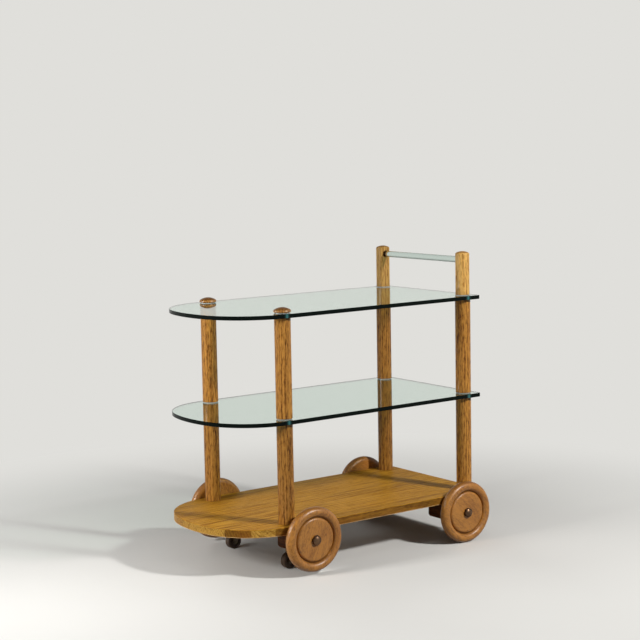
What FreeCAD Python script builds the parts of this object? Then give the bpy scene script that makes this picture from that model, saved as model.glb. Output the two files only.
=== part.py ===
import FreeCAD, Part
import math
import os

# Bar cart in millimetres: the floor is Z = 0, +X points to the handle end, and the origin lies
# under the middle of the board. Left is -Y, as seen by someone who pushes the cart forwards.
# Round oak posts clamp two glass shelves over a rounded board. Threaded rods inside the posts
# hold the stack together. Wooden wheels turn on bolts in blocks under the board. The front pair
# hangs clear of the floor, and two small casters under the front blocks carry that end.

# Board: a lumber core between two face veneers, with a bowed front end and a square rear end
BASE_LENGTH = 752.0
BASE_WIDTH = 380.0
CORE_THICKNESS = 16.0
VENEER_THICKNESS = 1.5
VENEER_EASING = 1.0
FRONT_RADIUS = 308.0
CORNER_RADIUS = 152.4
BASE_REAR_CORNER = 8.0

# Glass shelves, cut to the board's plan with a margin
GLASS_THICKNESS = 9.5
GLASS_SIDE_INSET = 2.5
GLASS_REAR_INSET = 6.5
GLASS_REAR_CORNER = 6.0
GLASS_ARRIS = 0.8
GLASS_HOLE_DIAMETER = 12.0
TIER_PITCH = 245.5
SHELF_WASHER_DIAMETER = 36.5
SHELF_WASHER_THICKNESS = 1.5

# Posts, set back from the board's edges to their axes
POST_DIAMETER = 38.1
POST_EDGE = 0.8
POST_FRONT_SETBACK = 165.1
POST_REAR_SETBACK = 38.7
POST_SIDE_SETBACK = 32.5
CAP_DIAMETER = 41.3
CAP_FOOT_ROUND = 2.5
CAP_ROUND = 5.0
CAP_CROWN = 9.5

# Handle posts and the clear rod between them
HANDLE_POST_DIAMETER = 34.9
HANDLE_POST_LENGTH = 108.0
HANDLE_POST_CROWN = 7.5
HANDLE_POST_ROUND = 4.5
HANDLE_POST_FLAT = 5.0
HANDLE_DIAMETER = 15.9
HANDLE_DROP = 21.5
HANDLE_SOCKET_DEPTH = 16.0
HANDLE_SOCKET_MOUTH = 1.2
HANDLE_CLEARANCE = 0.15
HANDLE_END_GAP = 0.4

# Room past the end of a screw or rod in its blind hole
HOLE_END_GAP = 0.5

# Tie rods with a nut and washer in a recess under the board
ROD_DIAMETER = 8.0
ROD_CLEARANCE = 0.5
THREAD_CLEARANCE = 0.05
ROD_RECESS = 0.5
ROD_DEPTH_IN_CAP = 6.5
ROD_DEPTH_IN_HANDLE_POST = 45.0
NUT_WIDTH = 13.0
NUT_HEIGHT = 6.5
NUT_RECESS_DIAMETER = 24.0
ROD_WASHER_DIAMETER = 22.0
ROD_WASHER_THICKNESS = 1.6
ROD_STUB = 1.4

# Wooden wheels: half-round rim, deep groove and round-edged disc outside, flat inside
WHEEL_DIAMETER = 152.4
RIM_WIDTH = 23.0
TREAD_FLAT = 2.0
DISC_SETBACK = 3.5
DISC_EDGE_ROUND = 6.5
GROOVE_WIDTH = 0.8
GROOVE_DEPTH = 7.8
WHEEL_EDGE_GAP = 4.5
FRONT_WHEEL_LIFT = 8.6
AXLE_OFFSET = 41.0

# Axle bolts and the spacers behind the wheels
AXLE_DIAMETER = 9.5
AXLE_DEPTH_IN_BLOCK = 45.0
HUB_HEAD_DIAMETER = 23.0
HUB_HEAD_RIM = 3.2
HUB_HEAD_CROWN = 6.8
HUB_HEAD_ROUND = 4.0
SPACER_DIAMETER = 24.0
RUNNING_CLEARANCE = 0.05
SIDE_PLAY = 0.3

# Axle blocks and the screws that hold them up against the board
BLOCK_WIDTH = 50.8
BLOCK_DEPTH = 50.8
BLOCK_LENGTH = 95.0
BLOCK_INNER_ROUND = 7.0
BLOCK_EDGE = 1.5
BLOCK_SCREW_SPREAD = 14.0
BLOCK_SCREW_SETBACKS = (14.0, 42.0)
BLOCK_SCREW_DIAMETER = 4.4
BLOCK_SCREW_LENGTH = 44.0
BLOCK_SCREW_HEAD_DIAMETER = 9.0
BLOCK_SCREW_HEAD_HEIGHT = 3.0
BLOCK_SCREW_BITE = 12.0
SCREW_HEAD_CLEARANCE = 0.4

# Swivel casters under the front blocks
CASTER_INSET = 24.0
CASTER_TRAIL = 10.0
CASTER_WHEEL_DIAMETER = 38.1
CASTER_WHEEL_WIDTH = 16.0
CASTER_TREAD_ROUND = 2.5
CASTER_TYRE_DEPTH = 6.0
CASTER_WEB_WIDTH = 9.0
CASTER_HUB_DIAMETER = 13.0
CASTER_WHEEL_CLEARANCE = 3.8
CASTER_AXLE_DIAMETER = 6.0
CASTER_AXLE_HEAD_DIAMETER = 9.0
CASTER_AXLE_HEAD_HEIGHT = 1.5
FORK_THICKNESS = 2.0
FORK_CROWN_LENGTH = 24.0
FORK_EYE_DIAMETER = 13.0
FORK_SIDE_GAP = 0.8
FORK_BEND = 1.5
KINGPIN_DIAMETER = 8.0
KINGPIN_HEAD_DIAMETER = 13.0
KINGPIN_HEAD_HEIGHT = 2.0
SWIVEL_GAP = 0.3
RACEWAY_DIAMETER = 27.0
RACEWAY_FOOT_DIAMETER = 21.0
RACEWAY_HEIGHT = 4.0
CASTER_PLATE_SIZE = 38.0
CASTER_PLATE_CORNER = 4.0
CASTER_PLATE_THICKNESS = 2.0
CASTER_SCREW_MARGIN = 5.0
CASTER_SCREW_DIAMETER = 3.6
CASTER_SCREW_LENGTH = 14.0
CASTER_SCREW_HEAD_DIAMETER = 6.8
CASTER_SCREW_HEAD_HEIGHT = 1.8

# Heights, built up from the floor
CASTER_WHEEL_RADIUS = CASTER_WHEEL_DIAMETER / 2
FORK_CROWN_BOTTOM = CASTER_WHEEL_DIAMETER + CASTER_WHEEL_CLEARANCE
FORK_CROWN_TOP = FORK_CROWN_BOTTOM + FORK_THICKNESS
RACEWAY_BOTTOM = FORK_CROWN_TOP + SWIVEL_GAP
PLATE_BOTTOM = RACEWAY_BOTTOM + RACEWAY_HEIGHT
BLOCK_BOTTOM = PLATE_BOTTOM + CASTER_PLATE_THICKNESS
BASE_BOTTOM = BLOCK_BOTTOM + BLOCK_DEPTH
CORE_BOTTOM = BASE_BOTTOM + VENEER_THICKNESS
CORE_TOP = CORE_BOTTOM + CORE_THICKNESS
BASE_TOP = CORE_TOP + VENEER_THICKNESS
GLASS_TOP = {"lower": BASE_TOP + TIER_PITCH, "upper": BASE_TOP + 2 * TIER_PITCH}
CAP_SEAT = GLASS_TOP["upper"] + SHELF_WASHER_THICKNESS
HANDLE_HEIGHT = CAP_SEAT + HANDLE_POST_LENGTH - HANDLE_DROP
AXLE_HEIGHT = {"front": WHEEL_DIAMETER / 2 + FRONT_WHEEL_LIFT, "rear": WHEEL_DIAMETER / 2}
BLOCK_SCREW_SEAT = BASE_BOTTOM + BLOCK_SCREW_BITE - BLOCK_SCREW_LENGTH
ROD_BOTTOM = BASE_BOTTOM + ROD_RECESS
ROD_WASHER_TOP = ROD_BOTTOM + ROD_STUB + NUT_HEIGHT + ROD_WASHER_THICKNESS

# Holes that the wood screws bite into
BLOCK_SCREW_HOLE = BLOCK_SCREW_DIAMETER + 2 * THREAD_CLEARANCE
CASTER_SCREW_HOLE = CASTER_SCREW_DIAMETER + 2 * THREAD_CLEARANCE

# Wheel across its rim, and its outer disc face from its middle plane
WHEEL_THICKNESS = RIM_WIDTH + TREAD_FLAT
DISC_FACE = WHEEL_THICKNESS / 2 - DISC_SETBACK

# Places in plan
SIDES = {"left": -1, "right": 1}
ENDS = ("front", "rear")
POST_X = {"front": POST_FRONT_SETBACK - BASE_LENGTH / 2, "rear": BASE_LENGTH / 2 - POST_REAR_SETBACK}
POST_Y = BASE_WIDTH / 2 - POST_SIDE_SETBACK
AXLE_X = {"front": POST_X["front"] + AXLE_OFFSET, "rear": POST_X["rear"] - AXLE_OFFSET}
BLOCK_INNER_Y = BASE_WIDTH / 2 - BLOCK_LENGTH
CASTER_Y = BLOCK_INNER_Y + CASTER_INSET
WHEEL_Y = BASE_WIDTH / 2 + WHEEL_EDGE_GAP + WHEEL_THICKNESS / 2
FLAT_Y = POST_Y - HANDLE_POST_DIAMETER / 2 + HANDLE_POST_FLAT
SOCKET_END_Y = FLAT_Y + HANDLE_SOCKET_DEPTH

TOLERANCE = 1e-6
V = FreeCAD.Vector
UP = V(0, 0, 1)
ORIGIN = V(0, 0, 0)


def cylinder(diameter, bottom, top, x=0.0, y=0.0):
    """Upright cylinder between two heights."""
    return Part.makeCylinder(diameter / 2, top - bottom, V(x, y, bottom))


def ring(outer, inner, bottom, top, x=0.0, y=0.0):
    """Upright ring, such as a washer."""
    return cylinder(outer, bottom, top, x, y).cut(cylinder(inner, bottom, top, x, y))


def box(x0, x1, y0, y1, z0, z1):
    """Box between two corners."""
    return Part.makeBox(x1 - x0, y1 - y0, z1 - z0, V(x0, y0, z0))


def level_edges(shape, height):
    """Edges of a shape that lie flat at one height."""
    flat = [e for e in shape.Edges if e.BoundBox.ZLength < TOLERANCE]
    return [e for e in flat if abs(e.BoundBox.ZMin - height) < TOLERANCE]


def line(start, end):
    """Straight edge of a turned profile, between (radius, height) points."""
    return Part.LineSegment(V(start[0], 0, start[1]), V(end[0], 0, end[1])).toShape()


def arc(centre, radius, start, end):
    """Round edge of a turned profile, between two angles in degrees."""
    points = []
    for angle in (start, (start + end) / 2, end):
        turn = math.radians(angle)
        points.append(V(centre[0] + radius * math.cos(turn), 0, centre[1] + radius * math.sin(turn)))
    return Part.Arc(*points).toShape()


def dome(radius, rise, shoulder, height):
    """Two edges of a turned profile: a round shoulder at the rim and a flatter crown up to the axis."""
    flat = ((radius - shoulder) ** 2 + rise ** 2 - shoulder ** 2) / (2 * (rise - shoulder))
    meet = math.degrees(math.atan2(flat - rise, radius - shoulder))
    return [
        arc((radius - shoulder, height), shoulder, 0, meet),
        arc((0, height + rise - flat), flat, meet, 90),
    ]


def turned(edges):
    """Solid of revolution about Z from the edges of a half profile."""
    return Part.Face(Part.Wire(edges)).revolve(ORIGIN, UP, 360)


def crosswise(diameter, start, end, x, z):
    """Cylinder across the cart, along Y between two places."""
    return Part.makeCylinder(diameter / 2, end - start, V(x, start, z), V(0, 1, 0))


def moved(shape, x, y, z):
    """Copy of a piece, put in place."""
    placed = shape.copy()
    placed.translate(V(x, y, z))
    return placed


def facing_out(shape, side, x, y, z):
    """Turn a piece made along +Z to point out of one side of the cart, and put it in place."""
    placed = shape.copy()
    placed.rotate(ORIGIN, V(1, 0, 0), -90 * side)
    placed.translate(V(x, side * y, z))
    return placed


def drilled(shape, diameter, places, bottom, top):
    """Cut upright holes at places in plan."""
    for x, y in places:
        shape = shape.cut(cylinder(diameter, bottom, top, x, y))
    return shape


def make_screw(diameter, length, head_diameter, head_height):
    """Screw along +Z, with its head below its seat at Z = 0."""
    return cylinder(diameter, 0, length).fuse(cylinder(head_diameter, -head_height, 0)).removeSplitter()


def save(node, shape):
    """Write one node."""
    shape.exportStep("parts/" + node + ".step")


def save_group(node, shapes):
    """Write equal small pieces as one node of separate solids."""
    save(node, Part.makeCompound(shapes))


def post_places():
    """Axes of the posts, front pair first."""
    return [(POST_X[end], side * POST_Y) for end in ENDS for side in SIDES.values()]


def plan_slab(side_inset, rear_inset, rear_corner, bottom, top):
    """Slab with the cart's plan: bowed front, round front corners, straight sides, square rear."""
    half = BASE_WIDTH / 2 - side_inset
    rear = BASE_LENGTH / 2 - rear_inset
    bow_x = FRONT_RADIUS - BASE_LENGTH / 2
    corner_y = BASE_WIDTH / 2 - CORNER_RADIUS
    corner_x = bow_x - math.sqrt((FRONT_RADIUS - CORNER_RADIUS) ** 2 - corner_y ** 2)
    bow = FRONT_RADIUS - side_inset
    corner = CORNER_RADIUS - side_inset
    join = math.atan2(corner_y, bow_x - corner_x)
    bend = rear_corner * (1 - math.sqrt(0.5))

    def point(x, y):
        return V(x, y, bottom)

    def on_corner(angle, side):
        return point(corner_x - corner * math.cos(angle), side * (corner_y + corner * math.sin(angle)))

    edges = [
        Part.Arc(on_corner(join, 1), point(bow_x - bow, 0), on_corner(join, -1)),
        Part.LineSegment(point(rear, rear_corner - half), point(rear, half - rear_corner)),
    ]
    for side in SIDES.values():
        half_turn = on_corner((join + math.pi / 2) / 2, side)
        side_front = point(corner_x, side * half)
        side_rear = point(rear - rear_corner, side * half)
        edges.append(Part.Arc(on_corner(join, side), half_turn, side_front))
        edges.append(Part.LineSegment(side_front, side_rear))
        edges.append(Part.Arc(
            side_rear,
            point(rear - bend, side * (half - bend)),
            point(rear, side * (half - rear_corner)),
        ))
    wire = Part.Wire(Part.__sortEdges__([edge.toShape() for edge in edges]))
    return Part.Face(wire).extrude(V(0, 0, top - bottom))


def block_screw_places():
    """Plan places of the screws through the blocks, two to a block on a diagonal."""
    places = []
    for end in ENDS:
        for side in SIDES.values():
            for setback, lean in zip(BLOCK_SCREW_SETBACKS, (-1, 1)):
                x = AXLE_X[end] + lean * BLOCK_SCREW_SPREAD
                places.append((x, side * (BASE_WIDTH / 2 - setback)))
    return places


def make_base():
    """Lumber core and its two face veneers, drilled for the tie rods and block screws."""
    rod_hole = ROD_DIAMETER + 2 * ROD_CLEARANCE
    screw_top = BASE_BOTTOM + BLOCK_SCREW_BITE + HOLE_END_GAP
    layers = {
        "base_bottom_veneer": (BASE_BOTTOM, CORE_BOTTOM),
        "base_core": (CORE_BOTTOM, CORE_TOP),
        "base_top_veneer": (CORE_TOP, BASE_TOP),
    }
    for node, (bottom, top) in layers.items():
        slab = plan_slab(0, 0, BASE_REAR_CORNER, bottom, top)
        outer = {"base_bottom_veneer": bottom, "base_top_veneer": top}.get(node)
        if outer is not None:
            slab = slab.makeFillet(VENEER_EASING, level_edges(slab, outer))
        slab = drilled(slab, rod_hole, post_places(), BASE_BOTTOM, BASE_TOP)
        slab = drilled(slab, NUT_RECESS_DIAMETER, post_places(), BASE_BOTTOM, ROD_WASHER_TOP)
        slab = drilled(slab, BLOCK_SCREW_HOLE, block_screw_places(), BASE_BOTTOM, screw_top)
        save(node, slab)


def make_shelves():
    """Glass shelves and the clear washers above and below them at each post."""
    for tier, top in GLASS_TOP.items():
        bottom = top - GLASS_THICKNESS
        glass = plan_slab(GLASS_SIDE_INSET, GLASS_REAR_INSET, GLASS_REAR_CORNER, bottom, top)
        glass = glass.makeChamfer(GLASS_ARRIS, level_edges(glass, bottom) + level_edges(glass, top))
        save(tier + "_glass_shelf", drilled(glass, GLASS_HOLE_DIAMETER, post_places(), bottom, top))
        washers = []
        for x, y in post_places():
            for foot in (bottom - SHELF_WASHER_THICKNESS, top):
                hole = ROD_DIAMETER + 2 * ROD_CLEARANCE
                head = foot + SHELF_WASHER_THICKNESS
                washers.append(ring(SHELF_WASHER_DIAMETER, hole, foot, head, x, y))
        save_group(tier + "_shelf_washers", washers)


def make_post(bottom, top, x, y):
    """Post length with eased ends and a hole for its tie rod."""
    post = cylinder(POST_DIAMETER, bottom, top, x, y)
    post = post.makeChamfer(POST_EDGE, level_edges(post, bottom) + level_edges(post, top))
    return post.cut(cylinder(ROD_DIAMETER + 2 * ROD_CLEARANCE, bottom, top, x, y))


def make_cap(x, y):
    """Domed button that closes a front post and screws onto its tie rod."""
    radius = CAP_DIAMETER / 2
    foot = radius - CAP_FOOT_ROUND
    cap = turned([
        line((0, 0), (foot, 0)),
        arc((foot, CAP_FOOT_ROUND), CAP_FOOT_ROUND, -90, 0),
        *dome(radius, CAP_CROWN, CAP_ROUND, CAP_FOOT_ROUND),
        line((0, CAP_FOOT_ROUND + CAP_CROWN), (0, 0)),
    ])
    cap = cap.cut(cylinder(ROD_DIAMETER + 2 * THREAD_CLEARANCE, 0, ROD_DEPTH_IN_CAP + HOLE_END_GAP))
    return moved(cap, x, y, CAP_SEAT)


def make_handle_post(side):
    """Upper length of a rear post, with a crowned top and a flat inner face bored for the handle."""
    radius = HANDLE_POST_DIAMETER / 2
    shoulder = HANDLE_POST_LENGTH - HANDLE_POST_CROWN
    post = turned([
        line((0, 0), (radius - POST_EDGE, 0)),
        line((radius - POST_EDGE, 0), (radius, POST_EDGE)),
        line((radius, POST_EDGE), (radius, shoulder)),
        *dome(radius, HANDLE_POST_CROWN, HANDLE_POST_ROUND, shoulder),
        line((0, HANDLE_POST_LENGTH), (0, 0)),
    ])
    depth = ROD_DEPTH_IN_HANDLE_POST + HOLE_END_GAP
    post = post.cut(cylinder(ROD_DIAMETER + 2 * THREAD_CLEARANCE, 0, depth))
    post = moved(post, POST_X["rear"], side * POST_Y, CAP_SEAT)
    inner_edges = sorted((side * (POST_Y - HANDLE_POST_DIAMETER), side * FLAT_Y))
    post = post.cut(box(
        POST_X["rear"] - radius, POST_X["rear"] + radius,
        inner_edges[0], inner_edges[1],
        CAP_SEAT, CAP_SEAT + HANDLE_POST_LENGTH,
    ))
    bore = HANDLE_DIAMETER + 2 * HANDLE_CLEARANCE
    socket = cylinder(bore, 0, HANDLE_SOCKET_DEPTH)
    mouth = Part.makeCone(bore / 2 + HANDLE_SOCKET_MOUTH, bore / 2, HANDLE_SOCKET_MOUTH)
    return post.cut(facing_out(socket.fuse(mouth), side, POST_X["rear"], FLAT_Y, HANDLE_HEIGHT))


def make_posts():
    """Post lengths, caps, handle posts and the handle between them."""
    for side_name, side in SIDES.items():
        for end in ENDS:
            x, y = POST_X[end], side * POST_Y
            lower_top = GLASS_TOP["lower"] - GLASS_THICKNESS - SHELF_WASHER_THICKNESS
            middle_top = GLASS_TOP["upper"] - GLASS_THICKNESS - SHELF_WASHER_THICKNESS
            middle_bottom = GLASS_TOP["lower"] + SHELF_WASHER_THICKNESS
            place = end + "_" + side_name
            save("lower_post_" + place, make_post(BASE_TOP, lower_top, x, y))
            save("middle_post_" + place, make_post(middle_bottom, middle_top, x, y))
        save("post_cap_" + side_name, make_cap(POST_X["front"], side * POST_Y))
        save("handle_post_" + side_name, make_handle_post(side))
    reach = SOCKET_END_Y - HANDLE_END_GAP
    handle = cylinder(HANDLE_DIAMETER, -reach, reach)
    save("handle_rod", facing_out(handle, 1, POST_X["rear"], 0, HANDLE_HEIGHT))


def make_tie_rods():
    """Threaded rods inside the posts, with their nuts and washers under the board."""
    nuts, washers = [], []
    rod_top = {"front": CAP_SEAT + ROD_DEPTH_IN_CAP, "rear": CAP_SEAT + ROD_DEPTH_IN_HANDLE_POST}
    nut_hole = ROD_DIAMETER + 2 * THREAD_CLEARANCE
    nut_top = ROD_WASHER_TOP - ROD_WASHER_THICKNESS
    nut_bottom = nut_top - NUT_HEIGHT
    corner = NUT_WIDTH / math.sqrt(3)
    for end in ENDS:
        for side_name, side in SIDES.items():
            x, y = POST_X[end], side * POST_Y
            rod = cylinder(ROD_DIAMETER, ROD_BOTTOM, rod_top[end], x, y)
            save("tie_rod_" + end + "_" + side_name, rod)
            washers.append(ring(ROD_WASHER_DIAMETER, nut_hole, nut_top, ROD_WASHER_TOP, x, y))
            corners = []
            for step in range(7):
                turn = math.radians(60 * step)
                corners.append(V(x + corner * math.cos(turn), y + corner * math.sin(turn), nut_bottom))
            nut = Part.Face(Part.makePolygon(corners)).extrude(V(0, 0, NUT_HEIGHT))
            nuts.append(nut.cut(cylinder(nut_hole, nut_bottom, nut_top, x, y)))
    save_group("tie_rod_nuts", nuts)
    save_group("tie_rod_washers", washers)


def make_wheel():
    """Turned wheel along +Z, outer face up: half-round rim, groove and disc, with a flat back."""
    radius = WHEEL_DIAMETER / 2
    bore = AXLE_DIAMETER / 2 + RUNNING_CLEARANCE
    back = -WHEEL_THICKNESS / 2
    bead = RIM_WIDTH / 2
    bead_r = radius - bead
    bead_t = TREAD_FLAT / 2
    floor = DISC_FACE - GROOVE_DEPTH
    foot = 180 - math.degrees(math.asin((floor - bead_t) / bead))
    foot_r = bead_r + bead * math.cos(math.radians(foot))
    disc = foot_r - GROOVE_WIDTH
    shoulder = DISC_FACE - DISC_EDGE_ROUND
    return turned([
        line((bore, back), (bore, DISC_FACE)),
        line((bore, DISC_FACE), (disc - DISC_EDGE_ROUND, DISC_FACE)),
        arc((disc - DISC_EDGE_ROUND, shoulder), DISC_EDGE_ROUND, 90, 0),
        line((disc, shoulder), (disc, floor)),
        line((disc, floor), (foot_r, floor)),
        arc((bead_r, bead_t), bead, foot, 0),
        line((radius, bead_t), (radius, -bead_t)),
        arc((bead_r, -bead_t), bead, 0, -90),
        line((bead_r, back), (bore, back)),
    ])


def make_axle_bolt():
    """Bolt along +Z with a domed head, whose seat is at Z = 0."""
    radius = HUB_HEAD_DIAMETER / 2
    shank = AXLE_DIAMETER / 2
    end = -(SIDE_PLAY + WHEEL_Y + DISC_FACE - BASE_WIDTH / 2 + AXLE_DEPTH_IN_BLOCK)
    return turned([
        line((0, end), (shank, end)),
        line((shank, end), (shank, 0)),
        line((shank, 0), (radius, 0)),
        line((radius, 0), (radius, HUB_HEAD_RIM)),
        *dome(radius, HUB_HEAD_CROWN, HUB_HEAD_ROUND, HUB_HEAD_RIM),
        line((0, HUB_HEAD_RIM + HUB_HEAD_CROWN), (0, end)),
    ])


def make_block(end, side):
    """Axle block under the board, bored for its axle bolt and for the screws that go into it."""
    half = BLOCK_WIDTH / 2
    x = AXLE_X[end]
    outer, inner = side * BASE_WIDTH / 2, side * BLOCK_INNER_Y
    block = box(x - half, x + half, min(outer, inner), max(outer, inner), BLOCK_BOTTOM, BASE_BOTTOM)
    lower = level_edges(block, BLOCK_BOTTOM)
    inner_edge = [e for e in lower if abs(e.CenterOfMass.y - inner) < TOLERANCE]
    block = block.makeFillet(BLOCK_INNER_ROUND, inner_edge)
    long_edges = [e for e in level_edges(block, BLOCK_BOTTOM) if e.BoundBox.XLength < TOLERANCE]
    block = block.makeChamfer(BLOCK_EDGE, long_edges)
    bolt_hole = AXLE_DIAMETER + 2 * THREAD_CLEARANCE
    hole = cylinder(bolt_hole, -AXLE_DEPTH_IN_BLOCK - HOLE_END_GAP, 0)
    block = block.cut(facing_out(hole, side, x, BASE_WIDTH / 2, AXLE_HEIGHT[end]))
    head_hole = BLOCK_SCREW_HEAD_DIAMETER + 2 * SCREW_HEAD_CLEARANCE
    block = drilled(block, BLOCK_SCREW_HOLE, block_screw_places(), BLOCK_SCREW_SEAT, BASE_BOTTOM)
    block = drilled(block, head_hole, block_screw_places(), BLOCK_BOTTOM, BLOCK_SCREW_SEAT)
    if end == "front":
        caster_hole_top = PLATE_BOTTOM + CASTER_SCREW_LENGTH + HOLE_END_GAP
        block = drilled(block, CASTER_SCREW_HOLE, caster_screw_places(), BLOCK_BOTTOM, caster_hole_top)
    return block


def make_wheels():
    """Blocks with their screws, and the wheels on their bolts and spacers."""
    wheel, bolt, spacers = make_wheel(), make_axle_bolt(), []
    bolt_y = WHEEL_Y + DISC_FACE + SIDE_PLAY
    spacer_length = WHEEL_EDGE_GAP - SIDE_PLAY
    spacer = ring(SPACER_DIAMETER, AXLE_DIAMETER + 2 * RUNNING_CLEARANCE, 0, spacer_length)
    for end in ENDS:
        for side_name, side in SIDES.items():
            place = end + "_" + side_name
            axle = AXLE_X[end], AXLE_HEIGHT[end]
            save("axle_block_" + place, make_block(end, side))
            save("wheel_" + place, facing_out(wheel, side, axle[0], WHEEL_Y, axle[1]))
            save("axle_bolt_" + place, facing_out(bolt, side, axle[0], bolt_y, axle[1]))
            spacers.append(facing_out(spacer, side, axle[0], BASE_WIDTH / 2, axle[1]))
    save_group("wheel_spacers", spacers)
    screw = make_screw(
        BLOCK_SCREW_DIAMETER, BLOCK_SCREW_LENGTH, BLOCK_SCREW_HEAD_DIAMETER, BLOCK_SCREW_HEAD_HEIGHT,
    )
    save_group("block_screws", [moved(screw, x, y, BLOCK_SCREW_SEAT) for x, y in block_screw_places()])


def caster_screw_places():
    """Plan places of the screws in the corners of the caster plates."""
    reach = CASTER_PLATE_SIZE / 2 - CASTER_SCREW_MARGIN
    places = []
    for side in SIDES.values():
        for dx in (-reach, reach):
            for dy in (-reach, reach):
                places.append((AXLE_X["front"] + dx, side * CASTER_Y + dy))
    return places


def make_caster_plate():
    """Mounting plate with the fixed half of the swivel race pressed out below it."""
    half = CASTER_PLATE_SIZE / 2
    plate = box(-half, half, -half, half, PLATE_BOTTOM, BLOCK_BOTTOM)
    uprights = [e for e in plate.Edges if e.BoundBox.ZLength > CASTER_PLATE_THICKNESS / 2]
    plate = plate.makeFillet(CASTER_PLATE_CORNER, uprights)
    foot = V(0, 0, RACEWAY_BOTTOM)
    race = Part.makeCone(RACEWAY_FOOT_DIAMETER / 2, RACEWAY_DIAMETER / 2, RACEWAY_HEIGHT, foot)
    plate = plate.fuse(race).removeSplitter()
    reach = half - CASTER_SCREW_MARGIN
    corners = [(dx, dy) for dx in (-reach, reach) for dy in (-reach, reach)]
    plate = drilled(plate, CASTER_SCREW_HOLE, corners, PLATE_BOTTOM, BLOCK_BOTTOM)
    return plate.cut(cylinder(KINGPIN_DIAMETER + 2 * RUNNING_CLEARANCE, RACEWAY_BOTTOM, BLOCK_BOTTOM))


def make_kingpin():
    """Rivet that the fork swivels on."""
    head_top = FORK_CROWN_BOTTOM - SWIVEL_GAP
    shank = cylinder(KINGPIN_DIAMETER, head_top, BLOCK_BOTTOM)
    head = cylinder(KINGPIN_HEAD_DIAMETER, head_top - KINGPIN_HEAD_HEIGHT, head_top)
    return shank.fuse(head).removeSplitter()


def make_fork():
    """Pressed fork: a crown that swivels under the race and two legs that taper to the axle."""
    inner = CASTER_WHEEL_WIDTH / 2 + FORK_SIDE_GAP
    outer = inner + FORK_THICKNESS
    half = FORK_CROWN_LENGTH / 2
    eye = FORK_EYE_DIAMETER / 2
    fork = box(-half, half, -outer, outer, FORK_CROWN_BOTTOM, FORK_CROWN_TOP)
    corners = (
        (-half, FORK_CROWN_TOP),
        (half, FORK_CROWN_TOP),
        (eye - CASTER_TRAIL, CASTER_WHEEL_RADIUS),
        (-eye - CASTER_TRAIL, CASTER_WHEEL_RADIUS),
        (-half, FORK_CROWN_TOP),
    )
    for start in (-outer, inner):
        outline = Part.makePolygon([V(x, start, z) for x, z in corners])
        leg = Part.Face(outline).extrude(V(0, FORK_THICKNESS, 0))
        end = crosswise(FORK_EYE_DIAMETER, start, start + FORK_THICKNESS, -CASTER_TRAIL, CASTER_WHEEL_RADIUS)
        fork = fork.fuse(leg).fuse(end)
    fork = fork.removeSplitter()
    bends = [e for e in level_edges(fork, FORK_CROWN_TOP) if e.BoundBox.YLength < TOLERANCE]
    fork = fork.makeFillet(FORK_BEND, bends)
    pin_hole = CASTER_AXLE_DIAMETER + 2 * RUNNING_CLEARANCE
    pin = crosswise(pin_hole, -outer, outer, -CASTER_TRAIL, CASTER_WHEEL_RADIUS)
    pivot = cylinder(KINGPIN_DIAMETER + 2 * RUNNING_CLEARANCE, FORK_CROWN_BOTTOM, FORK_CROWN_TOP)
    return fork.cut(pin).cut(pivot)


def make_caster_axle():
    """Rivet through the fork legs, along +Z about its middle."""
    reach = CASTER_WHEEL_WIDTH / 2 + FORK_SIDE_GAP + FORK_THICKNESS
    axle = cylinder(CASTER_AXLE_DIAMETER, -reach, reach)
    for foot in (-reach - CASTER_AXLE_HEAD_HEIGHT, reach):
        axle = axle.fuse(cylinder(CASTER_AXLE_HEAD_DIAMETER, foot, foot + CASTER_AXLE_HEAD_HEIGHT))
    return axle.removeSplitter()


def make_caster_wheel():
    """Small wheel along +Z about its middle, with a thinner web between hub and tyre."""
    bore = CASTER_AXLE_DIAMETER / 2 + RUNNING_CLEARANCE
    hub = CASTER_HUB_DIAMETER / 2
    half = CASTER_WHEEL_WIDTH / 2
    web = CASTER_WEB_WIDTH / 2
    tyre = CASTER_WHEEL_RADIUS - CASTER_TYRE_DEPTH
    edge_r, edge_t = CASTER_WHEEL_RADIUS - CASTER_TREAD_ROUND, half - CASTER_TREAD_ROUND
    return turned([
        line((bore, -half), (bore, half)),
        line((bore, half), (hub, half)),
        line((hub, half), (hub, web)),
        line((hub, web), (tyre, web)),
        line((tyre, web), (tyre, half)),
        line((tyre, half), (edge_r, half)),
        arc((edge_r, edge_t), CASTER_TREAD_ROUND, 90, 0),
        line((CASTER_WHEEL_RADIUS, edge_t), (CASTER_WHEEL_RADIUS, -edge_t)),
        arc((edge_r, -edge_t), CASTER_TREAD_ROUND, 0, -90),
        line((edge_r, -half), (tyre, -half)),
        line((tyre, -half), (tyre, -web)),
        line((tyre, -web), (hub, -web)),
        line((hub, -web), (hub, -half)),
        line((hub, -half), (bore, -half)),
    ])


def make_casters():
    """Casters under the front blocks, trailing towards the front."""
    upright = {
        "caster_plate": make_caster_plate(),
        "caster_kingpin": make_kingpin(),
        "caster_fork": make_fork(),
    }
    across = {
        "caster_axle": make_caster_axle(),
        "caster_wheel": make_caster_wheel(),
    }
    x = AXLE_X["front"]
    for side_name, side in SIDES.items():
        for node, shape in upright.items():
            save(node + "_" + side_name, moved(shape, x, side * CASTER_Y, 0))
        for node, shape in across.items():
            placed = facing_out(shape, side, x - CASTER_TRAIL, CASTER_Y, CASTER_WHEEL_RADIUS)
            save(node + "_" + side_name, placed)
    screw = make_screw(
        CASTER_SCREW_DIAMETER, CASTER_SCREW_LENGTH, CASTER_SCREW_HEAD_DIAMETER, CASTER_SCREW_HEAD_HEIGHT,
    )
    save_group("caster_screws", [moved(screw, sx, sy, PLATE_BOTTOM) for sx, sy in caster_screw_places()])


os.makedirs("parts", exist_ok=True)
make_base()
make_shelves()
make_posts()
make_tie_rods()
make_wheels()
make_casters()
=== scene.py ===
import math

import bpy
from mathutils import Matrix, Vector


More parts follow.
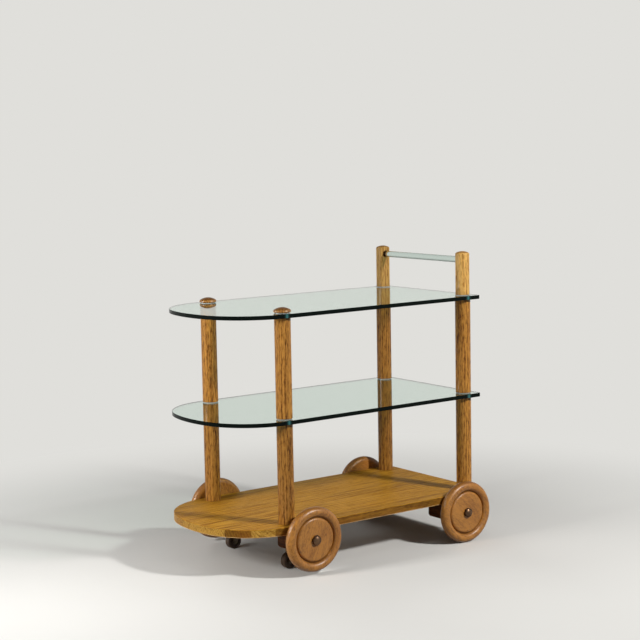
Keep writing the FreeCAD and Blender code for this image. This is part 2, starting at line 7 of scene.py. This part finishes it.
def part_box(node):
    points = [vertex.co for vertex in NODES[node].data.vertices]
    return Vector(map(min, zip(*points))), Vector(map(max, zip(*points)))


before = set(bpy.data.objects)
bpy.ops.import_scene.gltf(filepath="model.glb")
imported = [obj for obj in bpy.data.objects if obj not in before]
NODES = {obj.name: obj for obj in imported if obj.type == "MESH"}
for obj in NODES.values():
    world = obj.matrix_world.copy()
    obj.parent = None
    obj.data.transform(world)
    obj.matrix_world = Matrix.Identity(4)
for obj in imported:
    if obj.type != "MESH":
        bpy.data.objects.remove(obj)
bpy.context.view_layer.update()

ORIGIN = (0.0, 0.0, 0.0)
WHITE = (1.0, 1.0, 1.0, 1.0)

# Places of the mix node's sockets for colours
MIX_FIRST = 6
MIX_SECOND = 7
MIX_RESULT = 2

# Camera, in metres and degrees: yaw turns from +Y towards +X, pitch looks down, roll leans right
CAMERA_PLACE = Vector((-2.2795, -3.1144, 1.0142))
CAMERA_YAW = 36.343
CAMERA_PITCH = 6.658
CAMERA_ROLL = -1.064
CAMERA_LENS = 89.43
SENSOR_WIDTH = 36.0

# Studio: lamps are given by the compass direction they stand in, their height angle and their distance.
# The side light is two lamps, one for matt and one for glossy reflection, so that no shelf mirrors it whole.
AIM = Vector((0.0, 0.0, 0.35))
NO_GLOSS = ("glossy", "transmission")
NO_MATT = ("diffuse", "transmission")
LAMPS = {
    "key": {"azimuth": -67.0, "elevation": 32.0, "distance": 2.76, "size": 0.25, "power": 66.0},
    "side": {
        "azimuth": 180.0, "elevation": 13.0, "distance": 1.6, "size": 0.32, "power": 18.5,
        "hidden": NO_GLOSS,
    },
    "sheen": {
        "azimuth": 160.0, "elevation": 16.0, "distance": 1.6, "size": 0.32, "power": 18.5,
        "hidden": NO_MATT,
    },
    "front": {"azimuth": -116.0, "elevation": 57.0, "distance": 3.2, "size": 0.8, "power": 5.0},
    "back": {
        "azimuth": 84.0, "elevation": 12.0, "distance": 3.2, "size": 1.6, "power": 34.0,
        "hidden": NO_GLOSS,
    },
}

# Surroundings: the floor's patches are paler by its lift, it throws its bounce colour onto the cart, and it
# fades into the background between two distances in metres
AMBIENT = 0.05
BACKGROUND = (224, 223, 219)
OVERHEAD = (66, 66, 64)
OVERHEAD_STEP = ((0.12, 0.0), (0.75, 1.0))
FLOOR_COLOUR = (222, 220, 215)
FLOOR_LIFT = 4
FLOOR_BOUNCE = (120, 117, 112)
FLOOR_ROUGH = 0.85
FLOOR_WAVES = (3, 3, 3)
FLOOR_RADIUS = 14.0
FLOOR_SIDES = 96
FLOOR_FADE = (0.4, 1.5)

# Wood tones as seen on screen: latewood, earlywood, dark streaks and open pores
POST_TONES = ((211, 149, 67), (144, 84, 22), (86, 43, 7), (54, 27, 5))
# Handle posts: lighter tones, painted light for their place above the shelves in the full light of the lamps
HANDLE_LIT_TONES = ((236, 188, 106), (196, 142, 64), (146, 92, 30), (96, 56, 18))
BOARD_TONES = ((196, 144, 48), (168, 114, 28), (115, 68, 11), (82, 47, 9))
WHEEL_TONES = ((184, 124, 50), (147, 90, 29), (95, 53, 14), (60, 32, 8))
BLOCK_TONES = ((132, 76, 28), (106, 56, 18), (68, 34, 9), (34, 16, 4))
PALE_CORE_TONES = ((216, 170, 78), (184, 136, 50), (120, 78, 20), (78, 46, 12))
DARK_CORE_TONES = ((138, 94, 25), (110, 71, 16), (78, 46, 8), (48, 27, 6))
# Bottom veneer's edge: pale tones that are painted light along the board's lower rim
BOTTOM_EDGE_LIT_TONES = ((244, 204, 146), (230, 186, 124), (190, 144, 84), (140, 100, 54))
RED_CAST = (154, 90, 38)

# Share of the full tones in each post length, by the start of their names: painted shade, darker tones for
# the lengths that the glass shelves and the lamps leave in shade
POST_PAINTED_SHADES = {
    "lower_post_front_left": 0.66,
    "lower_post_front_right": 0.72,
    "lower_post_rear_left": 0.94,
    "lower_post_rear_right": 0.62,
    "middle_post_front_left": 0.82,
    "middle_post_front_right": 0.92,
    "middle_post_rear_left": 0.88,
    "middle_post_rear_right": 0.68,
    "handle_post_left": 0.96,
    "handle_post_right": 0.7,
    "post_cap": 0.7,
}

# Cut and finish of each kind of wooden piece, in metres and degrees: ring is the width of a growth ring,
# pith the place of the rings' middle, cast the share of the red cast and cut how dark end grain is
POST_OAK = {
    "ring": 0.0058, "streak": 0.75, "fleck_size": (0.0026, 0.017),
    "gloss": 0.08, "coat": 0.2, "coat_rough": 0.16, "cast": 0.1,
}
CAP_OAK = {**POST_OAK, "streak": 1.0, "fleck": 0.4, "gloss": 0.3, "coat": 0.5, "coat_rough": 0.25}
# Finish of the handle's sockets, whose dark tones are painted shade
SOCKET_SHADE_OAK = {"rough": 0.7, "coat": 0.0}
BOARD_OAK = {
    "grain": "X", "turn": (0.7, 2.2, 0.0), "pith": (0.035, -0.06), "ring": 0.01, "streak": 1.15,
    "fleck": 0.55, "fleck_size": (0.0026, 0.03), "rough": 0.46, "gloss": 0.04, "coat": 0.0, "cast": 0.12,
}
EDGE_OAK = {"grain": "X", "fleck_size": (0.012, 0.03), "rough": 0.5, "gloss": 0.12, "coat": 0.0, "cut": 0.0}
CORE_OAK = {
    "grain": "X", "pith": (0.06, 0.03), "streak": 1.2, "fleck": 0.7,
    "gloss": 0.12, "coat": 0.0, "cut": 0.3,
}
WHEEL_OAK = {
    "pith": (0.02, 0.11), "ring": 0.008, "streak": 0.45, "fleck": 0.65, "fleck_size": (0.0026, 0.009),
    "rough": 0.38, "gloss": 0.45, "coat": 0.15, "cast": 0.2,
}
BLOCK_OAK = {"grain": "Y", "pith": (0.05, 0.03), "rough": 0.5, "gloss": 0.12, "coat": 0.0}

# Each post's pith stands off its axis, further round in radians from post to post
POST_PITH_DISTANCE = 0.052
POST_PITH_STEP = 2.4

# Each wheel is cut with its grain at another angle, in degrees
WHEEL_LEAN = 4.0
WHEEL_FIRST_TURN = -20.0
WHEEL_TURN_STEP = 35.0

# The bottom veneer shows another part of the same pattern
BOTTOM_VENEER_SHIFT = 0.4

# Turns in degrees that bring the grain upright, by the axis that it follows
GRAIN_ALONG = {"X": (0.0, -90.0, 0.0), "Y": (90.0, 0.0, 0.0), "Z": (0.0, 0.0, 0.0)}

# Waves per metre of the wood's patterns: twice across the grain, then along it
FIBRE_WAVES = (360, 360, 10)
STREAK_WAVES = (95, 95, 3.4)
CLOUD_WAVES = (24, 24, 7)
PORE_WAVES = (1300, 1300, 60)
WANDER_WAVES = (16, 16, 2.6)

# How far growth rings wander either way, in metres
RING_WANDER = 0.01

# Where each pattern turns from none to all of its mark
RING_STOPS = ((0.0, 1.0), (0.14, 0.95), (0.42, 0.2), (0.88, 0.0), (1.0, 1.0))
FIBRE_STEP = ((0.42, 0.0), (0.72, 1.0))
STREAK_STEP = ((0.5, 0.0), (0.64, 1.0))
FLECK_STEP = ((0.51, 0.0), (0.61, 1.0))
GLEAM_STEP = ((0.36, 1.0), (0.46, 0.0))
PORE_STEP = ((0.55, 0.0), (0.64, 1.0))
CLOUD_STEP = ((0.45, 0.0), (0.7, 1.0))
CUT_STEP = ((0.55, 0.0), (0.92, 1.0))

# Share of the colour under it that each mark hides, where a piece's streak or fleck is one
RING_SHARE = 0.75
STREAK_SHARE = 0.5
FIBRE_SHARE = 0.3
GLEAM_SHARE = 0.8
PORE_SHARE = 0.7

# How strong pores and flecks are in latewood and in earlywood
PORES_BY_WOOD = (0.25, 1.0)
FLECKS_BY_WOOD = (0.5, 0.9)

# Roughness: how far it wanders either way, and what an open pore adds
ROUGH_WANDER = 0.08
PORE_ROUGH = 0.22

# Relief: how far fibres stand up and earlywood lies back, as shares of a pore's depth
FIBRE_RISE = 0.25
EARLYWOOD_DIP = 0.2

# Reliefs have a depth in metres and a strength
GRAIN_BUMP = (0.0004, 0.8)
SCRATCH_BUMP = (0.00006, 0.5)
TREAD_BUMP = (0.0001, 0.6)

# Glued strips of the board's core: where each ends across the board, in metres, and how dark it is
CORE_STRIPS = (
    (-0.185, 0.9), (-0.160, 0.15), (-0.112, 0.95), (0.035, 0.0), (0.078, 0.3), (0.121, 0.1), (0.19, 0.8),
)

# Faces whose normal rises less than this are edges
VENEER_EDGE_RISE = 0.5
GLASS_EDGE_RISE = 0.9

# Bore for the handle: its faces lie near the handle's axis and don't face along it, and take dark tones as
# painted shade
SOCKET_REACH = 0.0095
SOCKET_TURN = 0.1

# Clear pieces: the tint that light takes on inside, its density, and the lamplight that passes by slant
SHELF_TINT = (0.14, 0.62, 0.4)
SHELF_DENSITY = 20.0
SHELF_IOR = 1.52
HANDLE_TINT = (0.3, 0.55, 0.45)
HANDLE_DENSITY = 30.0
HANDLE_IOR = 1.49
PASSED_BY_SLANT = ((0.0, 0.92), (0.48, 0.87), (0.7, 0.76), (0.83, 0.55), (1.0, 0.0))
EDGE_TONES = ((2, 7, 5), (6, 16, 12))
EDGE_WAVES = (40, 40, 200)
EDGE_ROUGH = (0.12, 0.22)
EDGE_GLOSS = 0.06
WASHER_TONES = ((214, 216, 208), (236, 236, 230))
WASHER_WAVES = (90, 90, 90)
WASHER_ROUGH = (0.22, 0.37)
WASHER_IOR = 1.46
WASHER_CLEARNESS = 0.55

# Painted light: teal glints painted into the glass edge's colour beside the holes for the rods
GLINT_POSTS = ("middle_post_front_left", "middle_post_rear_left")
GLINT_OFFSET = -0.0075
GLINT_CORE = 0.002
GLINT_REACH = 0.0045
GLINT_COLOUR = (66, 120, 120)

# Metals: bright and tarnished tones, and roughness where bright
BRONZE = ((104, 80, 60), (58, 43, 32), 0.3)
ZINC = ((176, 174, 166), (126, 122, 112), 0.34)
CASTER_STEEL = ((112, 100, 84), (66, 56, 46), 0.3)
SCRATCH_WAVES = (900, 108, 900)
SCRATCH_ROUGH = 0.1
TARNISH_WAVES = (55, 55, 55)
TARNISH_STEP = ((0.4, 0.0), (0.68, 1.0))
TARNISH_ROUGH = 0.18

# Caster tread: clean and dusty tones
TREAD_TONES = ((62, 44, 30), (98, 76, 54))
TREAD_WAVES = (700, 700, 700)
TREAD_ROUGH = (0.42, 0.67)
DUST_WAVES = (60, 60, 60)
DUST_STEP = ((0.4, 0.0), (0.7, 0.7))


def linear(colour):
    """Linear colour with alpha from eight-bit screen values."""
    parts = []
    for value in colour:
        share = value / 255
        parts.append(share / 12.92 if share <= 0.04045 else ((share + 0.055) / 1.055) ** 2.4)
    return (*parts, 1.0)


def shaded(colour, share):
    """Linear colour with a share of its strength."""
    return (*(share * value for value in colour[:3]), 1.0)


class Tree:
    """One material's nodes, with short calls for the kinds that repeat."""

    def __init__(self, name):
        self.material = bpy.data.materials.new(name)
        self.material.use_nodes = True
        self.nodes = self.material.node_tree.nodes
        self.links = self.material.node_tree.links
        self.shader = self.nodes["Principled BSDF"]
        self.output = self.nodes["Material Output"]

    @classmethod
    def of_world(cls, world):
        """The same calls for a world's nodes."""
        world.use_nodes = True
        tree = cls.__new__(cls)
        tree.nodes = world.node_tree.nodes
        tree.links = world.node_tree.links
        tree.output = tree.nodes["World Output"]
        return tree

    def feed(self, socket, value):
        """Link an output to a socket, or set the socket's own value."""
        if isinstance(value, bpy.types.NodeSocket):
            self.links.new(value, socket)
        else:
            socket.default_value = value

    def node(self, kind, inputs, **properties):
        """Add a node, with inputs by name or place."""
        made = self.nodes.new("ShaderNode" + kind)
        for key, value in properties.items():
            setattr(made, key, value)
        for key, value in inputs.items():
            self.feed(made.inputs[key], value)
        return made

    def math(self, operation, *values):
        """Number worked out from other numbers."""
        return self.node("Math", dict(enumerate(values)), operation=operation).outputs[0]

    def between(self, share, low, high):
        """Number that goes from low to high as a share goes from nought to one."""
        return self.math("MULTIPLY_ADD", share, high - low, low)

    def mix(self, share, first, second):
        """Colour between two colours."""
        made = self.node("Mix", {0: share, MIX_FIRST: first, MIX_SECOND: second}, data_type="RGBA")
        return made.outputs[MIX_RESULT]

    def ramp(self, value, *stops, smooth="LINEAR"):
        """Number from a list of (place, level) stops."""
        made = self.node("ValToRGB", {0: value})
        made.color_ramp.interpolation = smooth
        elements = made.color_ramp.elements
        while len(elements) < len(stops):
            elements.new(1.0)
        for element, (place, level) in zip(elements, stops):
            element.position = place
            element.color = (level, level, level, 1.0)
        return made.outputs[0]

    def noise(self, vector, waves, detail=3.0, roughness=0.6):
        """Noise with its own number of waves per metre along each axis."""
        stretched = self.node("VectorMath", {0: vector, 1: waves}, operation="MULTIPLY").outputs[0]
        inputs = {"Vector": stretched, "Scale": 1.0, "Detail": detail, "Roughness": roughness}
        return self.node("TexNoise", inputs).outputs[0]

    def place(self, centre, turn=(0.0, 0.0, 0.0)):
        """Coordinates in metres about a centre, turned by angles in degrees."""
        coordinates = self.node("TexCoord", {}).outputs["Object"]
        moved = self.node("VectorMath", {0: coordinates, 1: centre}, operation="SUBTRACT").outputs[0]
        return self.turned(moved, turn)

    def turned(self, point, turn):
        """Coordinates turned by angles in degrees."""
        angles = [math.radians(angle) for angle in turn]
        return self.node("Mapping", {"Vector": point, "Rotation": angles}).outputs[0]

    def set(self, **values):
        """Set the shader's sockets: words joined by underscores name a socket."""
        for key, value in values.items():
            self.feed(self.shader.inputs[key.replace("_", " ")], value)

    def bump(self, height, distance, strength):
        """Relief in the shader's normal."""
        made = self.node("Bump", {"Height": height, "Distance": distance, "Strength": strength})
        self.links.new(made.outputs[0], self.shader.inputs["Normal"])


def end_grain(tree, grain):
    """One where the surface cuts across the grain, nought along it."""
    normal = tree.node("TexCoord", {}).outputs["Normal"]
    along = tree.node("SeparateXYZ", {0: normal}).outputs["XYZ".index(grain)]
    return tree.ramp(tree.math("ABSOLUTE", along), *CUT_STEP)


def growth_rings(tree, point, pith, ring):
    """Earlywood share of wandering growth rings about a pith."""
    axes = tree.node("SeparateXYZ", {0: point}).outputs
    drift = tree.noise(point, WANDER_WAVES, detail=4.0, roughness=0.5)
    across = [tree.math("SUBTRACT", axes[k], pith[k]) for k in (0, 1)]
    squares = [tree.math("MULTIPLY", value, value) for value in across]
    distance = tree.math("SQRT", tree.math("ADD", *squares))
    radius = tree.math("ADD", distance, tree.between(drift, -RING_WANDER, RING_WANDER))
    phase = tree.math("FRACT", tree.math("DIVIDE", radius, ring))
    return tree.ramp(phase, *RING_STOPS)


def wood(
    name, tones, centre, grain="Z", turn=(0.0, 0.0, 0.0), pith=(0.05, 0.02), ring=0.0048, streak=1.0,
    fleck=1.0, fleck_size=(0.0035, 0.014), rough=0.4, gloss=0.22, coat=0.08, coat_rough=0.3, cast=0.3,
    cut=0.55, shade=1.0, darker=None,
):
    """Lacquered ring-porous wood: growth rings, dark streaks, flecks and open pores along the grain."""
    tree = Tree(name)
    # A share below one darkens every tone: painted shade for pieces that stand in shade
    late, early, dark, pore = (shaded(linear(tone), shade) for tone in tones)
    if darker:
        share, other = darker(tree)
        late, early, dark, pore = (
            tree.mix(share, first, linear(second)) for first, second in zip((late, early, dark, pore), other)
        )
    point = tree.turned(tree.place(centre, GRAIN_ALONG[grain]), turn)
    earlywood = growth_rings(tree, point, pith, ring)

    fleck_width, fleck_length = fleck_size
    fibre = tree.noise(point, FIBRE_WAVES)
    band = tree.noise(point, STREAK_WAVES)
    dash = tree.noise(point, (1 / fleck_width, 1 / fleck_width, 1 / fleck_length))
    cloud = tree.noise(point, CLOUD_WAVES)
    speck = tree.noise(point, PORE_WAVES, detail=2.0)

    pores = tree.ramp(speck, *PORE_STEP)
    hollow = tree.math("MULTIPLY", pores, tree.between(earlywood, *PORES_BY_WOOD))
    flecks = tree.ramp(dash, *FLECK_STEP)
    marked = tree.math("MULTIPLY", flecks, tree.between(earlywood, *FLECKS_BY_WOOD))

    layers = (
        (earlywood, RING_SHARE * streak, early),
        (tree.ramp(band, *STREAK_STEP), STREAK_SHARE * streak, dark),
        (tree.ramp(fibre, *FIBRE_STEP), FIBRE_SHARE, dark),
        (tree.ramp(dash, *GLEAM_STEP), GLEAM_SHARE * fleck, late),
        (marked, fleck, dark),
        (hollow, PORE_SHARE * fleck, pore),
        (tree.ramp(cloud, *CLOUD_STEP), cast, linear(RED_CAST)),
        (end_grain(tree, grain), cut, dark),
    )
    colour = late
    for pattern, share, tone in layers:
        colour = tree.mix(tree.math("MULTIPLY", pattern, share), colour, tone)

    uneven = tree.between(cloud, rough - ROUGH_WANDER, rough + ROUGH_WANDER)
    tree.set(
        Base_Color=colour,
        Roughness=tree.math("MULTIPLY_ADD", hollow, PORE_ROUGH, uneven),
        Specular_IOR_Level=gloss,
        Coat_Weight=coat,
        Coat_Roughness=coat_rough,
    )
    risen = tree.math("MULTIPLY", fibre, FIBRE_RISE)
    pitted = tree.math("SUBTRACT", risen, tree.math("MULTIPLY", hollow, fleck))
    relief = tree.math("SUBTRACT", pitted, tree.math("MULTIPLY", earlywood, EARLYWOOD_DIP))
    tree.bump(relief, *GRAIN_BUMP)
    return tree.material


def core_strips(tree):
    """Share of the darker core tones in each glued strip across the board, and those tones."""
    across = tree.node("SeparateXYZ", {0: tree.place(ORIGIN)}).outputs[1]
    high = CORE_STRIPS[-1][0]
    low = -high
    share = tree.node("MapRange", {0: across, 1: low, 2: high}).outputs[0]
    starts = [low] + [end for end, _ in CORE_STRIPS[:-1]]
    stops = [((start - low) / (high - low), level) for start, (_, level) in zip(starts, CORE_STRIPS)]
    return tree.ramp(share, *stops, smooth="CONSTANT"), DARK_CORE_TONES


def glass(name, tint, density, ior):
    """Clear solid that tints light by its path. Lamplight goes straight through, less of it at a slant."""
    tree = Tree(name)
    tree.set(Base_Color=WHITE, Transmission_Weight=1.0, IOR=ior, Roughness=0.0)
    path = tree.node("LightPath", {}).outputs
    lit = tree.math("MAXIMUM", path["Is Shadow Ray"], path["Is Diffuse Ray"])
    slant = tree.node("LayerWeight", {"Blend": 0.5}).outputs["Facing"]
    clear = tree.node("BsdfTransparent", {"Color": tree.ramp(slant, *PASSED_BY_SLANT)})
    blend = tree.node("MixShader", {0: lit, 1: tree.shader.outputs[0], 2: clear.outputs[0]})
    tree.links.new(blend.outputs[0], tree.output.inputs["Surface"])
    absorb = tree.node("VolumeAbsorption", {"Color": (*tint, 1.0), "Density": density})
    tree.links.new(absorb.outputs[0], tree.output.inputs["Volume"])
    return tree.material


def cut_glass(name):
    """Edge of thick green glass, which swallows nearly all the light that enters it, with painted teal glints
    by the posts.
    """
    tree = Tree(name)
    point = tree.place(ORIGIN)
    cloud = tree.noise(point, EDGE_WAVES, roughness=0.5)
    colour = tree.mix(cloud, *(linear(tone) for tone in EDGE_TONES))
    along = tree.node("SeparateXYZ", {0: point}).outputs[0]
    # Painted light: a teal glint beside each of these posts
    for post in GLINT_POSTS:
        away = tree.math("ABSOLUTE", tree.math("SUBTRACT", along, middle(post).x + GLINT_OFFSET))
        near = tree.ramp(away, (GLINT_CORE, 1.0), (GLINT_REACH, 0.0))
        colour = tree.mix(near, colour, linear(GLINT_COLOUR))
    tree.set(
        Base_Color=colour,
        Roughness=tree.between(cloud, *EDGE_ROUGH),
        Specular_IOR_Level=EDGE_GLOSS,
    )
    return tree.material


def washer_plastic(name):
    """Milky clear plastic."""
    tree = Tree(name)
    cloud = tree.noise(tree.place(ORIGIN), WASHER_WAVES, roughness=0.5)
    tree.set(
        Base_Color=tree.mix(cloud, *(linear(tone) for tone in WASHER_TONES)),
        Transmission_Weight=WASHER_CLEARNESS,
        IOR=WASHER_IOR,
        Roughness=tree.between(cloud, *WASHER_ROUGH),
    )
    return tree.material


def metal(name, bright, worn, rough):
    """Metal with fine scratches, uneven tarnish and a duller, darker patina in patches."""
    tree = Tree(name)
    point = tree.place(ORIGIN)
    scratches = tree.noise(point, SCRATCH_WAVES)
    stain = tree.ramp(tree.noise(point, TARNISH_WAVES, detail=4.0), *TARNISH_STEP)
    dull = tree.math("MULTIPLY_ADD", stain, TARNISH_ROUGH, rough)
    tree.set(
        Base_Color=tree.mix(stain, linear(bright), linear(worn)),
        Metallic=1.0,
        Roughness=tree.math("MULTIPLY_ADD", scratches, SCRATCH_ROUGH, dull),
    )
    tree.bump(scratches, *SCRATCH_BUMP)
    return tree.material


def tread(name):
    """Dark moulded caster tread with a fine texture, dusty in patches."""
    tree = Tree(name)
    point = tree.place(ORIGIN)
    grain = tree.noise(point, TREAD_WAVES)
    dust = tree.ramp(tree.noise(point, DUST_WAVES), *DUST_STEP)
    tree.set(
        Base_Color=tree.mix(dust, *(linear(tone) for tone in TREAD_TONES)),
        Roughness=tree.between(grain, *TREAD_ROUGH),
    )
    tree.bump(grain, *TREAD_BUMP)
    return tree.material


def middle(node):
    """Centre of a node's box."""
    low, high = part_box(node)
    return (low + high) / 2


def named(*starts):
    """Nodes whose names start with one of these words, in order."""
    return sorted(node for node in NODES if node.startswith(starts))


def dress(node, material, second=None, chosen=None):
    """Give a carried-over node its finish, and a second one to the faces that a test picks."""
    mesh = NODES[node].data
    mesh.materials.clear()
    mesh.materials.append(material)
    if second:
        mesh.materials.append(second)
        for face in mesh.polygons:
            face.material_index = int(chosen(face))


def on_circle(azimuth, elevation, distance):
    """Point at a distance from the aim, by compass direction and height angle."""
    turn, rise = math.radians(azimuth), math.radians(elevation)
    flat = Vector((math.cos(turn), math.sin(turn), 0.0)) * math.cos(rise)
    return AIM + distance * (flat + Vector((0.0, 0.0, math.sin(rise))))


def make_lamp(name, azimuth, elevation, distance, size, power, hidden=()):
    """Square soft box that faces the cart, hidden from the camera and from some kinds of ray."""
    lamp = bpy.data.lights.new(name, "AREA")
    lamp.size = size
    lamp.energy = power
    holder = bpy.data.objects.new(name, lamp)
    for ray in ("camera", *hidden):
        setattr(holder, "visible_" + ray, False)
    holder.location = on_circle(azimuth, elevation, distance)
    holder.rotation_euler = (AIM - holder.location).to_track_quat("-Z", "Y").to_euler()
    bpy.context.scene.collection.objects.link(holder)


def seen_directly(tree):
    """One for what the camera, a mirror image or a clear piece shows, nought for light on other things."""
    path = tree.node("LightPath", {}).outputs
    total = tree.math("ADD", path["Is Camera Ray"], path["Is Glossy Ray"])
    return tree.math("MINIMUM", tree.math("ADD", total, path["Is Transmission Ray"]), 1.0)


def make_floor():
    """Pale floor that melts into the background away from the cart."""
    tree = Tree("studio_floor")
    point = tree.place(ORIGIN)
    cloud = tree.noise(point, FLOOR_WAVES, roughness=0.5)
    lifted = [value + FLOOR_LIFT for value in FLOOR_COLOUR]
    direct = seen_directly(tree)
    shown = tree.mix(cloud, linear(FLOOR_COLOUR), linear(lifted))
    tree.set(Base_Color=tree.mix(direct, linear(FLOOR_BOUNCE), shown), Roughness=FLOOR_ROUGH)
    away = tree.node("VectorMath", {0: point}, operation="LENGTH").outputs["Value"]
    near, far = FLOOR_FADE
    fade = tree.node("MapRange", {0: away, 1: near, 2: far}, interpolation_type="SMOOTHSTEP")
    share = tree.math("MULTIPLY", fade.outputs[0], direct)
    glow = tree.node("Emission", {"Color": linear(BACKGROUND), "Strength": 1.0})
    blend = tree.node("MixShader", {0: share, 1: tree.shader.outputs[0], 2: glow.outputs[0]})
    tree.links.new(blend.outputs[0], tree.output.inputs["Surface"])

    bpy.ops.mesh.primitive_circle_add(vertices=FLOOR_SIDES, radius=FLOOR_RADIUS, fill_type="NGON")
    floor = bpy.context.object
    floor.name = "studio_floor"
    floor.data.materials.append(tree.material)


def make_world():
    """Even ambient light, with a plain background, darker overhead, where it is seen directly or mirrored."""
    world = bpy.data.worlds.new("studio")
    bpy.context.scene.world = world
    tree = Tree.of_world(world)
    direction = tree.node("TexCoord", {}).outputs["Generated"]
    height = tree.node("SeparateXYZ", {0: direction}).outputs[2]
    shade = tree.mix(tree.ramp(height, *OVERHEAD_STEP), linear(BACKGROUND), linear(OVERHEAD))
    seen = tree.node("Background", {"Color": shade, "Strength": 1.0})
    ambient = tree.node("Background", {"Color": WHITE, "Strength": AMBIENT})
    blend = tree.node("MixShader", {0: seen_directly(tree), 1: ambient.outputs[0], 2: seen.outputs[0]})
    tree.links.new(blend.outputs[0], tree.output.inputs["Surface"])


def make_camera():
    """Camera at the photograph's place and angle."""
    yaw, pitch, roll = (math.radians(angle) for angle in (CAMERA_YAW, CAMERA_PITCH, CAMERA_ROLL))
    ahead = Vector((math.sin(yaw) * math.cos(pitch), math.cos(yaw) * math.cos(pitch), -math.sin(pitch)))
    right = Vector((math.cos(yaw), -math.sin(yaw), 0.0))
    up = right.cross(ahead)
    leaned_right = math.cos(roll) * right + math.sin(roll) * up
    leaned_up = math.cos(roll) * up - math.sin(roll) * right
    turn = Matrix((leaned_right, leaned_up, -ahead)).transposed()
    lens = bpy.data.cameras.new("camera")
    lens.lens = CAMERA_LENS
    lens.sensor_width = SENSOR_WIDTH
    camera = bpy.data.objects.new("camera", lens)
    camera.matrix_world = Matrix.Translation(CAMERA_PLACE) @ turn.to_4x4()
    bpy.context.scene.collection.objects.link(camera)
    bpy.context.scene.camera = camera


def post_wood(number, node):
    """Oak of one post length, with the pith off to its own side."""
    turn = POST_PITH_STEP * number
    pith = (POST_PITH_DISTANCE * math.cos(turn), POST_PITH_DISTANCE * math.sin(turn))
    # The handle posts take lighter tones: painted light
    tones = HANDLE_LIT_TONES if node.startswith("handle_post") else POST_TONES
    cut = CAP_OAK if node.startswith("post_cap") else POST_OAK
    # Painted shade: lengths that stand in shade take a share of the full tones
    shade = min(share for start, share in POST_PAINTED_SHADES.items() if node.startswith(start))
    return wood("oak_" + node, tones, middle(node), pith=pith, shade=shade, **cut)


def dress_posts():
    """Posts, buttons and handle posts, each from its own piece of oak; painted shade darkens the handle's
    sockets.
    """
    # Painted shade: the socket faces take the dark block tones
    socket = wood("socket_painted_shade", BLOCK_TONES, ORIGIN, **SOCKET_SHADE_OAK)
    axis = middle("handle_rod")

    def in_socket(face):
        near = math.hypot(face.center.x - axis.x, face.center.z - axis.z) < SOCKET_REACH
        return near and abs(face.normal.z) + abs(face.normal.x) > SOCKET_TURN

    for number, node in enumerate(named("lower_post", "middle_post", "post_cap", "handle_post")):
        oak = post_wood(number, node)
        if node.startswith("handle_post"):
            dress(node, oak, socket, in_socket)
        else:
            dress(node, oak)


def dress_board():
    """Golden veneer faces with worn edges, painted light on the bottom veneer's edge, and a core of glued
    strips.
    """
    veneers = (
        ("base_top_veneer", 0.0, BOARD_TONES),
        # The bottom veneer's edge is pale: painted light
        ("base_bottom_veneer", BOTTOM_VENEER_SHIFT, BOTTOM_EDGE_LIT_TONES),
    )
    for node, shift, edge_tones in veneers:
        centre = middle(node) + Vector((0.0, shift, 0.0))
        face_wood = wood("oak_" + node, BOARD_TONES, centre, **BOARD_OAK)
        edge_wood = wood("worn_and_lit_edge_" + node, edge_tones, centre, **EDGE_OAK)
        dress(node, face_wood, edge_wood, lambda face: abs(face.normal.z) < VENEER_EDGE_RISE)
    core = wood("oak_base_core", PALE_CORE_TONES, middle("base_core"), darker=core_strips, **CORE_OAK)
    dress("base_core", core)


def dress_wheels():
    """Turned wheels and the dark blocks that carry them."""
    for number, node in enumerate(named("wheel_front", "wheel_rear")):
        turn = (WHEEL_LEAN, WHEEL_FIRST_TURN + WHEEL_TURN_STEP * number, 0.0)
        dress(node, wood("oak_" + node, WHEEL_TONES, middle(node), turn=turn, **WHEEL_OAK))
    for node in named("axle_block"):
        dress(node, wood("oak_" + node, BLOCK_TONES, middle(node), **BLOCK_OAK))


def dress_clear_pieces():
    """Glass, handle and washers."""
    shelf = glass("green_glass", SHELF_TINT, SHELF_DENSITY, SHELF_IOR)
    edge = cut_glass("green_glass_edge")
    for node in ("lower_glass_shelf", "upper_glass_shelf"):
        dress(node, shelf, edge, lambda face: abs(face.normal.z) < GLASS_EDGE_RISE)
    dress("handle_rod", glass("clear_acrylic", HANDLE_TINT, HANDLE_DENSITY, HANDLE_IOR))
    washers = washer_plastic("clear_washer")
    for node in ("lower_shelf_washers", "upper_shelf_washers"):
        dress(node, washers)


def dress_metal():
    """Bolts, rods, screws and casters."""
    bronze = metal("dark_bronze", *BRONZE)
    zinc = metal("zinc", *ZINC)
    steel = metal("caster_steel", *CASTER_STEEL)
    rubber = tread("caster_tread")
    finishes = (
        (bronze, ("axle_bolt", "wheel_spacers")),
        (zinc, ("tie_rod", "block_screws", "caster_screws")),
        (steel, ("caster_plate", "caster_kingpin", "caster_fork", "caster_axle")),
        (rubber, ("caster_wheel",)),
    )
    for material, starts in finishes:
        for node in named(*starts):
            dress(node, material)


bpy.context.scene.view_settings.view_transform = "Standard"
make_camera()
make_world()
for lamp_name, lamp_place in LAMPS.items():
    make_lamp(lamp_name, **lamp_place)
make_floor()
dress_posts()
dress_board()
dress_wheels()
dress_clear_pieces()
dress_metal()
